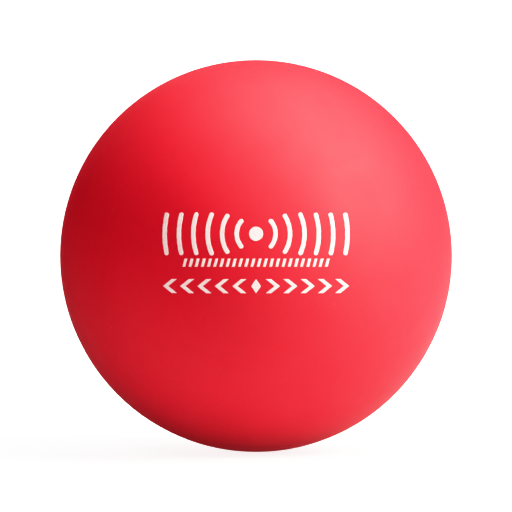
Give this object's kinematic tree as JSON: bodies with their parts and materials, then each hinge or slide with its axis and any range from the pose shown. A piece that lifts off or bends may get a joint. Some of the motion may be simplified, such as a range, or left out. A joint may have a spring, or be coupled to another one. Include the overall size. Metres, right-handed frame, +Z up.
{
  "type": "massage ball",
  "caption": "Smooth solid rubber ball for trigger-point massage, with a white printed mark on one side.",
  "frame": {"origin": "centre of the ball", "axes": "+Z up as the print reads, -Y out through the middle of the printed side, +X to the right of the print"},
  "size_m": [0.0626, 0.0625, 0.0626],
  "materials": {
    "ball_rubber": "satin",
    "print_ink": "matte"
  },
  "bodies": {
    "root": {"ball_body": "ball_rubber", "print_dot": "print_ink", "print_arcs_left": "print_ink", "print_arcs_right": "print_ink", "print_tick_row": "print_ink", "print_chevrons_left": "print_ink", "print_chevrons_right": "print_ink", "print_diamond": "print_ink"}
  },
  "joints": []
}
